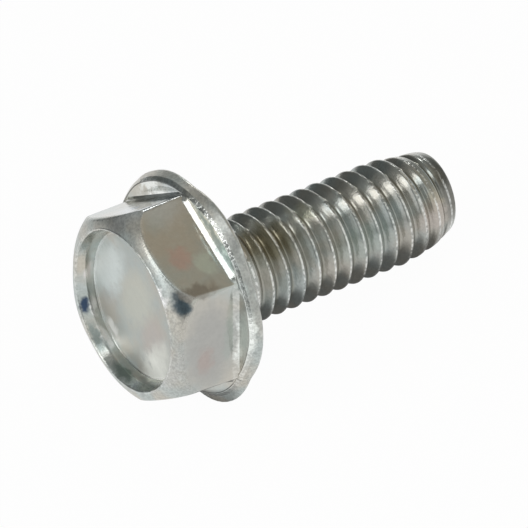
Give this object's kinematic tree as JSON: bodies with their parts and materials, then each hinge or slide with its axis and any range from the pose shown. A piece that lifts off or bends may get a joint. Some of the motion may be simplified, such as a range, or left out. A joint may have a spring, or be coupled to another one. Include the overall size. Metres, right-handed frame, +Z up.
{
  "type": "hex flange bolt",
  "caption": "Short zinc-plated hexagon flange bolt with a dished head, threaded up to the flange.",
  "frame": {"origin": "middle of the space the bolt takes up, on the surface it lies on", "axes": "+X runs along the bolt from its head to its tip, seen from above; +Z is up"},
  "size_m": [0.0208, 0.0128, 0.0125],
  "materials": {
    "zinc_plated_steel": "bright zinc plating with a faint greenish passivation"
  },
  "bodies": {
    "root": {"flange_bolt": "zinc_plated_steel"}
  },
  "joints": []
}
